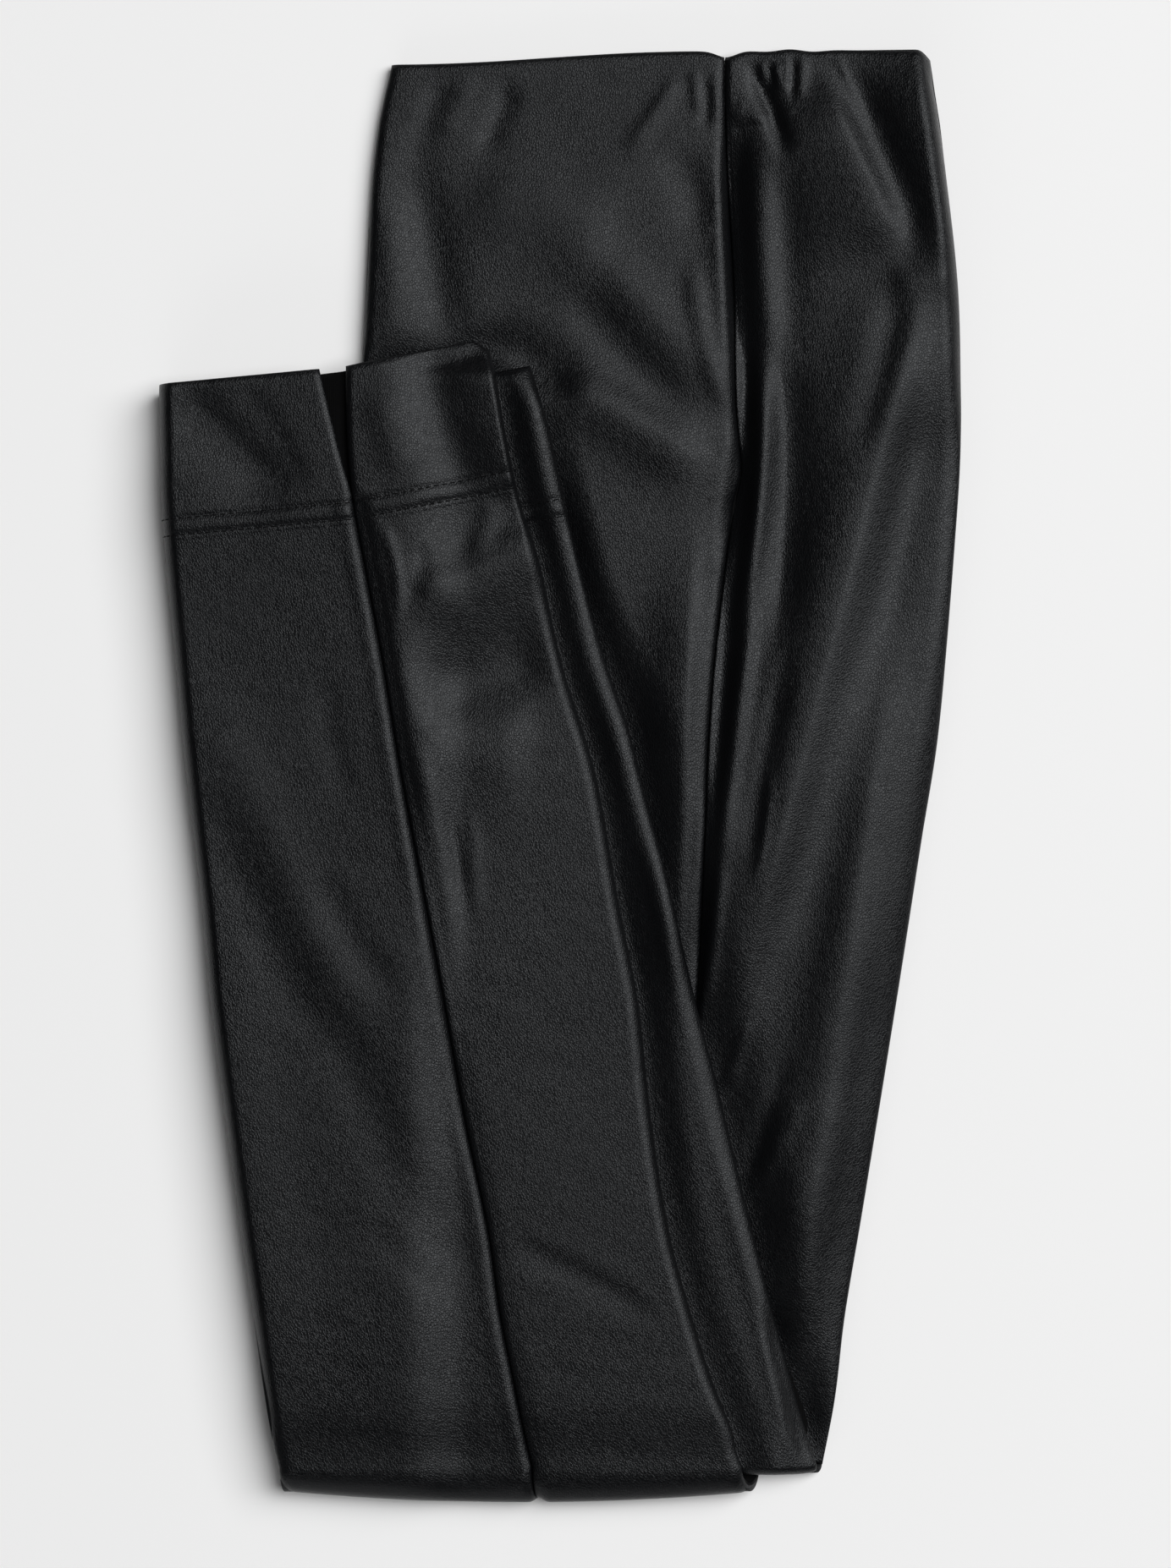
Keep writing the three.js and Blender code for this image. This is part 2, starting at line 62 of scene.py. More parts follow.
def at(rows, column, y):
    """A column of a table at y, on a smooth cubic through its rows."""
    ys, values = rows["y"], rows[column]
    y = np.clip(y, ys[0], ys[-1])
    i = np.clip(np.searchsorted(ys, y) - 1, 0, len(ys) - 2)
    before, after = np.maximum(i - 1, 0), np.minimum(i + 2, len(ys) - 1)
    span = ys[i + 1] - ys[i]
    start = (values[i + 1] - values[before]) / (ys[i + 1] - ys[before]) * span
    end = (values[after] - values[i]) / (ys[after] - ys[i]) * span
    t = (y - ys[i]) / span
    return (
        (2 * t**3 - 3 * t**2 + 1) * values[i]
        + (t**3 - 2 * t**2 + t) * start
        + (3 * t**2 - 2 * t**3) * values[i + 1]
        + (t**3 - t**2) * end
    )


def soft(t):
    """A soft step from 0 to 1."""
    t = np.clip(t, 0, 1)
    return t**3 * (10 - 15 * t + 6 * t * t)


def mix(a, b, t):
    return a + (b - a) * t


UPPER = table("y front seam back", [
    (262, -61, 59.5, 134),
    (249, -63.5, 59.5, 135.3),
    (219, -67.7, 60.4, 139.4),
    (176, -70, 62.8, 144),
    (136, -72, 63.4, 145),
    (121, -73, 64.6, 144.8),
    (110, -74, 65.4, 144.4),
    (97, -75, 62.6, 143.6),
    (46, -77, 56.1, 139.7),
    (11, -79, 53.4, 136.3),
    (-22, -80, 52.2, 131),
    (-80, -81.5, 49.4, 122),
    (-159, -82, 42, 109.2),
    (-196, -81, 34, 103),
    (-226, -80, 26, 99.4),
    (-252, -78.5, 14, 94.5),
])
UNDER = table("y front seam back", [
    (262, -61, 59.5, 134),
    (219, -67.7, 59.5, 139.4),
    (136, -72, 57, 145),
    (97, -76, 50, 141),
    (11, -84, 32, 123),
    (-80, -91, 14, 104),
    (-159, -95, 4, 89),
    (-226, -97.5, -4, 76),
    (-262, -98, -6.6, 70.5),
])
LOWER = table("y front seam back", [
    (160, -145, -78.4, -25.6),
    (120, -144.4, -76.8, -18.9),
    (99, -144, -74.4, -14.3),
    (78, -142.4, -70.6, -7.6),
    (41, -138.8, -63.7, 0.6),
    (2, -135.1, -57.3, 12.5),
    (-45, -129.6, -48.5, 21),
    (-81, -126.3, -41.8, 28.1),
    (-124, -120.8, -34.2, 32.9),
    (-164, -115.3, -25.9, 39.3),
    (-193, -111, -21.7, 47),
    (-218, -107.4, -16.8, 54.9),
    (-236, -104.4, -13.1, 62),
    (-244, -102.5, -11.3, 63.6),
    (-252, -100.4, -9.4, 67),
    (-262, -97.6, -6.6, 71.5),
])
STRIP = table("y back", [
    (148, -10.7),
    (125, -4),
    (102, 0.9),
    (72, 7.9),
    (42, 16.2),
    (17, 24.7),
    (-10, 31.4),
    (-36, 38.4),
    (-80, 48.5),
    (-109, 56.1),
    (-151, 66.2),
    (-197, 77.8),
    (-236, 88.5),
    (-252, 93.6),
])

# ---- left leg above the fold ----
# The left front and left back panels, sewn together down the side seam, outer side up. The cloth
# lies flat over the right leg, with soft folds from the seat and small gathers at the elastic.
HEIGHT = table("y upper leg", [
    (262, 8, 6),
    (220, 8, 6),
    (150, 9.4, 6),
    (110, 10, 5.8),
    (60, 10, 5.2),
    (-252, 10, 5),
])
DRAPE = 22
REST_GAP = 0.5
STRIP_DIP = 4
LEG_SHIFT = 34
ROUND = {
    "under": 4,
    "upper_front": 4,
    "upper_back": 7,
    "strip": 8,
    "lower": 9,
    "lower_front": 5.5,
    "lower_back": 5,
}
UPPER_SWELL = 0.55
UPPER_RIPPLE = 0.06

# Each fold is a line through three places, drawn down the leg: its half width on the front side
# and on the back side of the line, and its rise, below nought for a trough.
UPPER_FOLDS = [
    (57, 234, 59, 179, 60, 133, 5, 2.5, 1.0),
    (48, 188, 52, 158, 61, 130, 4, 4, 1.0),
    (0, 192, 34, 166, 58, 129, 13, 10, 1.5),
    (-34, 214, -8, 205, 20, 190, 14, 12, 1.2),
    (2, 178, 22, 154, 48, 128, 9, 10, -1.3),
    (-12, 146, 22, 131, 58, 107, 12, 9, 2.6),
    (-54, 226, -46, 188, -41, 152, 8, 9, -1.5),
    (-63, 210, -61, 179, -62, 152, 5, 7, 0.7),
    (-42, 258, -47, 240, -54, 218, 5, 6, -0.6),
    (-18, 255, -23, 237, -30, 224, 4, 5, -0.9),
    (-33, 258, -37, 246, -44, 230, 5, 5, 0.5),
    (43, 254, 35, 241, 23, 224, 3, 4, 0.7),
    (48, 256, 49, 248, 50, 238, 2, 2.5, 0.5),
    (56, 256, 56, 246, 56, 234, 2, 2.5, 0.5),
    (52, 252, 53, 243, 52, 234, 2, 2, -0.5),
    (40, 228, 47, 214, 51, 196, 7, 5, -0.6),
    (63, 127, 65, 112, 64, 97, 6, 3, 1.0),
    (56, 91, 54, 21, 49, -71, 8, 3, 0.8),
    (62, 242, 62.5, 194, 67, 140, 3, 7, -4.2),
    (66, 162, 67, 127, 60, 78, 4, 5, -3.8),
    (64, 97, 59, 48, 54, -25, 2.5, 5, -1.6),
    (55, -10, 51, -50, 49, -77, 2, 4, -1.3),
    (68, 259, 74, 246, 82, 223, 3, 3.5, -2.0),
    (73, 258, 73, 254, 74, 250, 1.8, 1.8, 0.6),
    (75, 258, 76, 254, 77, 249, 1.5, 1.5, -0.6),
    (78, 258, 79, 251, 81, 246, 1.8, 1.8, 0.6),
    (82, 259, 82, 252, 82, 246, 1.6, 1.6, 0.5),
    (84, 260, 84, 252, 84, 244, 1.8, 1.8, -0.6),
    (88, 260, 87, 252, 86, 244, 2.2, 2.2, 0.5),
    (61, 239, 69, 238, 77, 237, 2, 6, 0.9),
    (-84, 144, -52, 148, -20, 154, 6, 9, -2.4),
    (-36, 156, -14, 151, 8, 136, 7, 10, -2.2),
    (71, 236, 72, 188, 75, 144, 6, 6, 1.0),
    (70, 158, 72, 109, 65, 50, 4, 4.5, 3.2),
    (70, 70, 62, 8, 55.5, -40, 4, 4, 2.2),
    (58, -28, 55, -59, 52, -86, 3, 3, 1.3),
    (80, 225, 82, 188, 84, 149, 6, 7, -1.0),
    (80, 160, 82, 97, 77, 40, 4, 8, -1.7),
    (83, 51, 74, 5, 66, -40, 4, 5, -1.1),
    (92, 253, 105, 226, 123, 188, 24, 7, 4.0),
    (99, 261, 104, 250, 112, 232, 1.5, 1.5, 0.4),
    (126, 266, 140, 222, 148, 174, 18, 5, 5.2),
    (102, 260, 117, 222, 132, 182, 7, 8, -1.8),
    (118, 180, 131, 178, 146, 181, 9, 4, 1.0),
    (131, 188, 104, 79, 57, -100, 20, 11, 5.8),
    (119, 70, 103, -60, 78, -220, 13, 10, 3.3),
    (123, 179, 117, 152, 106, 115, 7, 5, -1.4),
    (134, 150, 117, 50, 84, -100, 7, 7, -0.8),
    (48, 92, 44, 10, 41, -84, 12, 5, 3.0),
    (76, 4, 74, -18, 70, -40, 2, 2, 0.5),
    (68, -86, 64, -101, 60, -115, 3, 3, 0.6),
    (88, -115, 79, -132, 70, -151, 5, 4, 0.7),
    (82, -98, 74, -126, 68, -147, 4, 4, -0.6),
    (76, -186, 80, -212, 90, -250, 4, 9, -2.4),
]


def lift_of(folds, x, y):
    """How far a table of folds raises or sinks the cloth at places x, y."""
    lift = np.zeros_like(x)
    for x0, y0, x1, y1, x2, y2, front, back, rise in folds:
        start, middle, end = np.array([(x0, y0), (x1, y1), (x2, y2)], float)
        pull = 2 * middle - (start + end) / 2
        t = np.linspace(0, 1, 15)[:, None]
        line = (1 - t) ** 2 * start + 2 * t * (1 - t) * pull + t**2 * end
        reach = 2.6 * max(front, back)
        low, high = line.min(0) - reach, line.max(0) + reach
        near = (x > low[0]) & (x < high[0]) & (y > low[1]) & (y < high[1])
        if not near.any():
            continue
        px, py = x[near], y[near]
        nearest = np.full(px.shape, np.inf)
        backward = np.zeros(px.shape)
        for a, b in zip(line, line[1:]):
            d = b - a
            s = np.clip(((px - a[0]) * d[0] + (py - a[1]) * d[1]) / (d @ d), 0, 1)
            ex, ey = px - a[0] - s * d[0], py - a[1] - s * d[1]
            far = np.hypot(ex, ey)
            closer = far < nearest
            nearest = np.where(closer, far, nearest)
            backward = np.where(closer, (d[0] * ey - d[1] * ex) / math.hypot(*d), backward)
        width = mix(front, back, soft(backward / (0.5 * min(front, back)) / 2 + 0.5))
        d = end - start
        along = ((px - start[0]) * d[0] + (py - start[1]) * d[1]) / (d @ d)
        fade = soft((along + 0.08) / 0.4) * soft((1.08 - along) / 0.4)
        lift[near] += rise * fade * np.exp(-((nearest / width) ** 2))
    return lift


def waves(x, y, size, seed):
    """Slow uneven swells about a size across, from -1 to 1."""
    rng = np.random.default_rng(seed)
    total = np.zeros_like(x)
    for _ in range(7):
        angle, phase = rng.uniform(0, math.pi), rng.uniform(0, 2 * math.pi)
        length = size * rng.uniform(0.7, 1.6)
        total += np.sin(2 * math.pi * (x * math.cos(angle) + y * math.sin(angle)) / length + phase)
    return total / 4


def hip_share(y):
    return soft((y - 105) / 45)


def under_top(x, y):
    """Top of the right leg under the left one."""
    rise = soft((x - at(UNDER, "front", y) + DRAPE) / (DRAPE + 3))
    fall = 1 - 0.7 * soft((x - at(UNDER, "back", y)) / DRAPE)
    return at(HEIGHT, "upper", y) / 2 * rise * mix(fall, 1, hip_share(y))


def upper_top(x, y):
    """Top of the upper part, and of what the folded-back legs rest on beyond its edge."""
    rise = soft((x - at(UPPER, "front", y) + DRAPE) / (DRAPE + 3))
    covered = soft((at(STRIP, "back", y) - 2 - x) / 10) * soft((150 - y) / 10)
    folds = lift_of(UPPER_FOLDS, x, y) + UPPER_SWELL * waves(x, y, 80, 3)
    folds = folds + UPPER_RIPPLE * waves(x, y, 18, 4)
    lean = (0.02 * (x - 30) + 0.035 * (x - 70) * soft((x - 60) / 20)) * soft((y - 100) / 60)
    beside = x - at(STRIP, "back", y)
    reach = mix(12, 24, soft((90 - y) / 90))
    near_strip = soft((reach - beside) / (reach + 6))
    dip = -STRIP_DIP * near_strip * soft((155 - y) / 80) * soft((x + 60) / 30)
    shaped = (folds * (1 - covered) + lean) * rise
    return under_top(x, y) + at(HEIGHT, "upper", y) / 2 * rise + shaped + dip


def across(angle, share, edge, seam, rounding, half, depth):
    """x of a column of a half panel, and how far it lies below the panel's face."""
    inward = np.sign(seam - edge)
    start = edge + inward * (depth + (rounding - depth) * (1 - np.cos(angle)))
    return mix(start, seam, share), half - (half - depth) * np.sin(angle)


def columns(edge_steps, flat_steps):
    """Angles round the crease, then shares of the way to the side seam."""
    flat = np.full(flat_steps, math.pi / 2)
    angle = np.concatenate([np.linspace(0, math.pi / 2, edge_steps), flat])
    share = np.concatenate([np.zeros(edge_steps), np.linspace(0, 1, flat_steps + 1)[1:]])
    return angle[None, :], share[None, :]


SEAM_ROLL = 0.9
SEAM_ROLL_WIDTH = 1.1


def seam_roll(distance):
    """How far a panel turns down beside its side seam."""
    return SEAM_ROLL * np.exp(-((distance / SEAM_ROLL_WIDTH) ** 2))


def wall_mesh(name, outer, inner, backed=(0, 0)):
    """A closed wall between two grids of places in millimetres, facing out: the outer grid is
    coated but for its backed columns, and the inner one shows the backing."""
    rows, cols = outer.shape[:2]
    points = np.concatenate([outer.reshape(-1, 3), inner.reshape(-1, 3)]) * MM
    i, j = np.mgrid[0 : rows - 1, 0 : cols - 1]
    a = (i * cols + j).ravel()
    under = rows * cols
    top = np.stack([a, a + 1, a + cols + 1, a + cols], 1)
    bottom = top[:, ::-1] + under
    left = np.arange(rows - 1) * cols
    right = left + cols - 1
    near = np.arange(cols - 1)
    far = near + (rows - 1) * cols
    rims = [
        np.stack([left, left + cols, left + cols + under, left + under], 1),
        np.stack([right + cols, right, right + under, right + cols + under], 1),
        np.stack([near + 1, near, near + under, near + 1 + under], 1),
        np.stack([far, far + 1, far + 1 + under, far + under], 1),
    ]
    faces = np.concatenate([top, bottom, *rims])
    p = points[faces]
    volume = np.einsum("ij,ij->i", p[:, 0], np.cross(p[:, 1], p[:, 2])).sum()
    volume += np.einsum("ij,ij->i", p[:, 0], np.cross(p[:, 2], p[:, 3])).sum()
    if volume < 0:
        faces = faces[:, ::-1]
    mesh = bpy.data.meshes.new(name)
    mesh.from_pydata(points.tolist(), [], faces.tolist())
    mesh.shade_smooth()
    for material in (leather, backing):
        mesh.materials.append(material)
    sides = np.zeros(len(faces), int)
    sides[len(top) : 2 * len(top)] = 1
    sides[: len(top)].reshape(rows - 1, cols - 1)[:, backed[0] : backed[1]] = 1
    mesh.polygons.foreach_set("material_index", sides)
    piece = bpy.data.objects.new(name, mesh)
    bpy.context.collection.objects.link(piece)
    return piece


def node_group(name, inputs, outputs):
    """An empty shader group with named sockets; inputs have their first values."""
    group = bpy.data.node_groups.new(name, "ShaderNodeTree")
    for title, kind, value in inputs:
        socket = group.interface.new_socket(title, in_out="INPUT", socket_type=kind)
        socket.default_value = value
    for title, kind in outputs:
        group.interface.new_socket(title, in_out="OUTPUT", socket_type=kind)
    return group


def add_node(tree, kind, **settings):
    """A node with its settings; a setting named after a socket fills that socket."""
    node = tree.nodes.new(kind)
    for key, value in settings.items():
        socket = node.inputs.get(key.replace("_", " ").title())
        if socket is None:
            setattr(node, key, value)
        elif hasattr(value, "node"):
            tree.links.new(value, socket)
        else:
            socket.default_value = value
    return node


def join(tree, kind, *values, **settings):
    """A Math or similar node fed by its inputs in order; gives its output."""
    node = add_node(tree, kind, **settings)
    for socket, value in zip(node.inputs, values):
        if hasattr(value, "node"):
            tree.links.new(value, socket)
        else:
            socket.default_value = value
    return node.outputs[0]


def maths(tree, operation, *values):
    return join(tree, "ShaderNodeMath", *values, operation=operation)


# The pressed grain of the coating: small uneven pebbles with fine furrows between them.
grain = node_group(
    "pebble_grain",
    [("Cells", "NodeSocketFloat", 1000.0), ("Stretch", "NodeSocketFloat", 1.25)],
    [("Height", "NodeSocketFloat"), ("Furrow", "NodeSocketFloat")],
)
start = add_node(grain, "NodeGroupInput")
place = add_node(grain, "ShaderNodeTexCoord").outputs["Object"]
stretched = add_node(grain, "ShaderNodeCombineXYZ", y=1.0, z=1.0)
grain.links.new(start.outputs["Stretch"], stretched.inputs[0])
where = join(grain, "ShaderNodeVectorMath", place, stretched.outputs[0], operation="MULTIPLY")
drift = add_node(grain, "ShaderNodeTexNoise", vector=where, scale=260.0, detail=2.0)
bent = join(
    grain, "ShaderNodeVectorMath", drift.outputs["Color"], (0.0018,) * 3, operation="MULTIPLY"
)
bent = join(grain, "ShaderNodeVectorMath", where, bent, operation="ADD")
cells = add_node(grain, "ShaderNodeTexVoronoi", feature="DISTANCE_TO_EDGE", vector=bent)
grain.links.new(start.outputs["Cells"], cells.inputs["Scale"])
pebble = maths(grain, "SMOOTH_MIN", cells.outputs["Distance"], 0.22, 0.15)
fine = add_node(grain, "ShaderNodeTexNoise", vector=where, scale=2600.0, detail=2.0)
rounded = maths(grain, "MULTIPLY", pebble, 4.0)
height = maths(grain, "MULTIPLY_ADD", fine.outputs["Fac"], 0.08, rounded)
furrow = maths(grain, "SUBTRACT", 1.0, maths(grain, "MULTIPLY", pebble, 5.0))
finish = add_node(grain, "NodeGroupOutput")
grain.links.new(height, finish.inputs["Height"])
grain.links.new(furrow, finish.inputs["Furrow"])

# Fine handling creases and the slow unevenness that wearing and folding leave in the coating.
handling = node_group(
    "handling",
    [("Crease Scale", "NodeSocketFloat", 90.0), ("Cloud Scale", "NodeSocketFloat", 26.0)],
    [("Creases", "NodeSocketFloat"), ("Clouds", "NodeSocketFloat")],
)
start = add_node(handling, "NodeGroupInput")
place = add_node(handling, "ShaderNodeTexCoord").outputs["Object"]
wrinkles = add_node(handling, "ShaderNodeTexNoise", vector=place, detail=3.0, roughness=0.6)
handling.links.new(start.outputs["Crease Scale"], wrinkles.inputs["Scale"])
clouds = add_node(handling, "ShaderNodeTexNoise", vector=place, detail=4.0, roughness=0.62)
handling.links.new(start.outputs["Cloud Scale"], clouds.inputs["Scale"])
finish = add_node(handling, "NodeGroupOutput")
handling.links.new(wrinkles.outputs["Fac"], finish.inputs["Creases"])
handling.links.new(clouds.outputs["Fac"], finish.inputs["Clouds"])


def group_node(tree, group, **values):
    node = tree.nodes.new("ShaderNodeGroup")
    node.node_tree = group
    for title, value in values.items():
        node.inputs[title.replace("_", " ")].default_value = value
    return node


def coated_leather(name, color, roughness, grain_depth):
    """Black polyurethane-coated jersey with a pressed grain."""
    material = bpy.data.materials.new(name)
    material.use_nodes = True
    tree = material.node_tree
    shader = tree.nodes["Principled BSDF"]
    shader.inputs["Specular IOR Level"].default_value = 0.235
    shader.inputs["Specular Tint"].default_value = (0.94, 0.97, 1, 1)
    pebbles = group_node(tree, grain, Cells=950.0, Stretch=1.3)
    handled = group_node(tree, handling, Crease_Scale=95.0, Cloud_Scale=24.0)
    cloudy = add_node(tree, "ShaderNodeMapRange", value=handled.outputs["Clouds"])
    cloudy.inputs["From Min"].default_value = 0.3
    cloudy.inputs["From Max"].default_value = 0.7
    cloudy.inputs["To Min"].default_value = roughness - 0.035
    cloudy.inputs["To Max"].default_value = roughness + 0.035
    rough = maths(tree, "MULTIPLY_ADD", pebbles.outputs["Furrow"], 0.1, cloudy.outputs[0])
    tree.links.new(rough, shader.inputs["Roughness"])
    tint = add_node(tree, "ShaderNodeMix", data_type="RGBA")
    tree.links.new(handled.outputs["Clouds"], tint.inputs["Factor"])
    tint.inputs["A"].default_value = (*[c * 0.8 for c in color], 1)
    tint.inputs["B"].default_value = (*[c * 1.25 for c in color], 1)
    tree.links.new(tint.outputs["Result"], shader.inputs["Base Color"])
    creases = add_node(tree, "ShaderNodeBump", height=handled.outputs["Creases"], strength=0.2)
    creases.inputs["Distance"].default_value = 0.0006
    bump = add_node(tree, "ShaderNodeBump", height=pebbles.outputs["Height"], strength=grain_depth)
    bump.inputs["Distance"].default_value = 0.00014
    tree.links.new(creases.outputs[0], bump.inputs["Normal"])
    tree.links.new(bump.outputs[0], shader.inputs["Normal"])
    return material


leather = coated_leather("coated_leather", (0.0014, 0.0015, 0.0019), 0.315, 0.5)


def jersey_backing(name, color):
    """The knitted jersey under the coating: fine ribs, quite dull."""
    material = bpy.data.materials.new(name)
    material.use_nodes = True
    tree = material.node_tree
    shader = tree.nodes["Principled BSDF"]
    shader.inputs["Roughness"].default_value = 0.95
    shader.inputs["Specular IOR Level"].default_value = 0.1
    place = add_node(tree, "ShaderNodeTexCoord").outputs["Object"]
    ribs = add_node(tree, "ShaderNodeTexWave", vector=place, scale=420.0, distortion=0.6)
    fuzz = add_node(tree, "ShaderNodeTexNoise", vector=place, scale=900.0, detail=2.0)
    tint = add_node(tree, "ShaderNodeMix", data_type="RGBA")
    tree.links.new(fuzz.outputs["Fac"], tint.inputs["Factor"])
    tint.inputs["A"].default_value = (*[c * 0.5 for c in color], 1)
    tint.inputs["B"].default_value = (*[c * 1.5 for c in color], 1)
    tree.links.new(tint.outputs["Result"], shader.inputs["Base Color"])
    bump = add_node(tree, "ShaderNodeBump", height=ribs.outputs["Fac"], strength=0.5)
    bump.inputs["Distance"].default_value = 0.0002
    tree.links.new(bump.outputs[0], shader.inputs["Normal"])
    return material


backing = jersey_backing("jersey_backing", (0.0022, 0.0022, 0.0024))

CASING = 36
WAIST_DIP = 4.6
WAIST_NOTCH = 2.2
WAIST_CORNER = 3.5
upper_angle, upper_share = columns(10, 100)
visible_rows = np.arange(WAIST_Y, -62, -1.5)
front_rows = np.concatenate([visible_rows, np.linspace(-66, -245, 24)])
back_rows = np.arange(WAIST_Y, -250, -1.55)


def upper_lip(x, y):
    low = under_top(x, y)
    leg = low + (upper_top(x, y) - low) / 2
    return mix(leg, at(HEIGHT, "upper", y) / 2 + SEAM_GAP / 2, hip_share(y))


def waist_line(x):
    """The waist edge dips to the front crease and at the side seam, and rounds at the back."""
    slope = -WAIST_DIP * soft((60 - x) / 130)
    notch = -WAIST_NOTCH * np.exp(-(((x - 60) / 5) ** 2))
    corner = -WAIST_CORNER * soft((x - 128) / 8)
    return slope + notch + corner + 0.5 * np.sin(x / 3.1) * np.exp(-(((x - 84) / 14) ** 2))


def upper_panel(side, rows, depth):
    """Places of a left panel above the fold, at a depth inside its wall."""
    y = rows[:, None] + 0 * upper_angle
    seam = at(UPPER, "seam", y) + (SEAM_GAP / 2 if side == "back" else -SEAM_GAP / 2)
    edge = at(UPPER, side, y)
    half = upper_top(edge, y) - upper_lip(edge, y)
    x, below = across(upper_angle, upper_share, edge, seam, ROUND[f"upper_{side}"], half, depth)
    z = upper_top(x, y) - below - seam_roll(abs(seam - x))
    z -= 0.06 * np.exp(-(((WAIST_Y - CASING - y) / 1.6) ** 2)) * soft((70 - x) / 15)
    roll = np.exp(-(((WAIST_Y - y) / 1.2) ** 2))
    y = y + waist_line(x) * soft((y - WAIST_Y + 30) / 30)
    return np.stack([x, y, z - 0.6 * roll], -1)


left_front = wall_mesh(
    "left_front_panel", upper_panel("front", front_rows, 0), upper_panel("front", front_rows, WALL)
)
left_back = wall_mesh(
    "left_back_panel", upper_panel("back", back_rows, 0), upper_panel("back", back_rows, WALL)
)
for piece, node in ((left_front, "left_front"), (left_back, "left_back")):
    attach(piece, "root")
    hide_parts(node)

# ---- right leg ----
# The right front and right back panels: outer side down on the surface, round the fold, then outer
# side up on top to the hem. The hem is turned up 50 mm and left open in a slit at the side seam.
SLIT = 46
SLIT_FRONT = 8.4
SLIT_BACK = 0.9
FOLD_START = -249
HEM_TILT = 0.13
BRIDGE = 400
STRIP_RISE = 3.6
LOWER_SWELL = 0.22
LOWER_RIPPLE = 0.05
LOWER_FOLDS = [
    (-130, 32, -101, -31, -66, -98, 12, 11, 0.8),
    (-126, 2, -104, -58, -78, -104, 10, 11, -0.7),
    (-86, -80, -60, -138, -34, -190, 10, 10, -0.8),
    (-69, -158, -59, -171, -42, -186, 5, 5, -0.3),
    (-84, 38, -82, 14, -74, -12, 6, 5, -0.4),
    (-88, -34, -74, -60, -56, -84, 9, 6, -0.6),
    (-142, 140, -120, 122, -98, 96, 14, 8, -1.7),
    (-118, 142, -103, 124, -92, 100, 9, 5, -0.6),
    (-65, 141, -61, 123, -56, 106, 6, 9, 0.8),
    (-49, 162, -44, 131, -34, 100, 9, 9, -1.9),
    (-27, 162, -20, 130, -11, 98, 13, 5, 2.2),
    (-65, 92, -59, 75, -58, 54, 2.5, 2.5, 0.7),
    (-49, 84, -50, 74, -54, 62, 3.5, 4, -0.6),
    (-54, 60, -30, 72, 2, 88, 15, 10, 3.2),
    (-54, 30, -30, 34, -2, 46, 11, 15, -2.4),
    (-54, 16, -32, 10, -8, 14, 18, 12, 1.3),
    (-23, 100, -27, 89, -31, 77, 4, 4, 0.6),
    (-52, 14, -43, -22, -37, -66, 3, 3, 0.6),
    (-40, -12, -37, -28, -35, -45, 2, 2, -0.4),
    (-32, -12, -31, -31, -30, -52, 2.5, 3, 0.4),
    (-22, -166, 5, -178, 37, -196, 6, 3.5, -0.5),
    (-126, -40, -111, -140, -97, -232, 9, 14, 0.8),
]


def fold_y(x):
    """Outline of the right leg's fold, with a small notch at the seam."""
    return FOLD_Y + 4 * ((x + 13) / 85) ** 2 + 1.2 * np.exp(-(((x + 7.5) / 2) ** 2))


def climb(y, past_seam):
    """How far a folded-back row climbs to the back crease, more so past the side seam."""
    return HEM_TILT * soft((y + 200) / 340) * past_seam * mix(0.7, 1.55, soft(past_seam / 16 + 0.5))


def bed_top(x, y):
    """What the folded-back legs lie on: they bridge the front creases under them softly."""
    half = at(HEIGHT, "upper", y) / 2
    low = half * soft((x - at(UNDER, "front", y) + BRIDGE) / (BRIDGE + 3))
    high = half * soft((x - at(UPPER, "front", y) + BRIDGE) / (BRIDGE + 3))
    blend = soft((x - at(UPPER, "front", y) - 3) / 45)
    return mix(low + high, upper_top(x, y), blend)


def strip_rise(x, y):
    """The strip rises to its back crease, less so towards the fold."""
    from_fold = mix(0.45, 1, soft((y + 210) / 150))
    return STRIP_RISE * from_fold * soft((x - at(LOWER, "back", y) + 2) / 18)


def strip_top(x, y):
    """Top of the folded-back left leg."""
    filled = mix(0.5, 1, soft((x - at(LOWER, "front", y) + 15) / 140))
    leg = filled * (REST_GAP + at(HEIGHT, "leg", y))
    return bed_top(x, y) + leg + strip_rise(x, y)


def lower_top(x, y):
    """Top of the folded-back right leg."""
    d = x - at(LOWER, "seam", y)
    sewn = soft((104 - y) / 8)
    pull = mix(0.3, 1, soft((y + 120) / 130))
    seam = 0.3 * np.exp(-(((d + 3.5) / 3) ** 2)) - 1.1 * pull * np.exp(-(((d - 2) / 3) ** 2))
    folds = lift_of(LOWER_FOLDS, x, y) + LOWER_SWELL * waves(x, y, 70, 7)
    folds = folds + LOWER_RIPPLE * waves(x, y, 15, 8)
    turning = -1.8 * soft((-222 - y) / 30)
    under = strip_top(x, y) - strip_rise(x, y)
    return under + SEAM_GAP + at(HEIGHT, "leg", y) + folds + sewn * seam + turning


def slanted(y0, pick):
    """Places of columns along a slanted station of the folded-back legs."""
    y = y0
    for _ in range(4):
        x, below = pick(y)
        y = y0 + climb(y0, x - at(LOWER, "seam", y0))
    return pick(y)[0], y, below


STITCH_ROWS = (48.5, 54.5)
STITCH_DENT = 0.42
HEM_CORNER = 4


def hem_corner(x, y, y0):
    """The hem rounds off at the back crease."""
    return HEM_CORNER * soft((x - at(LOWER, "back", y) + 9) / 10) * soft((y0 - HEM_Y + 16) / 16)


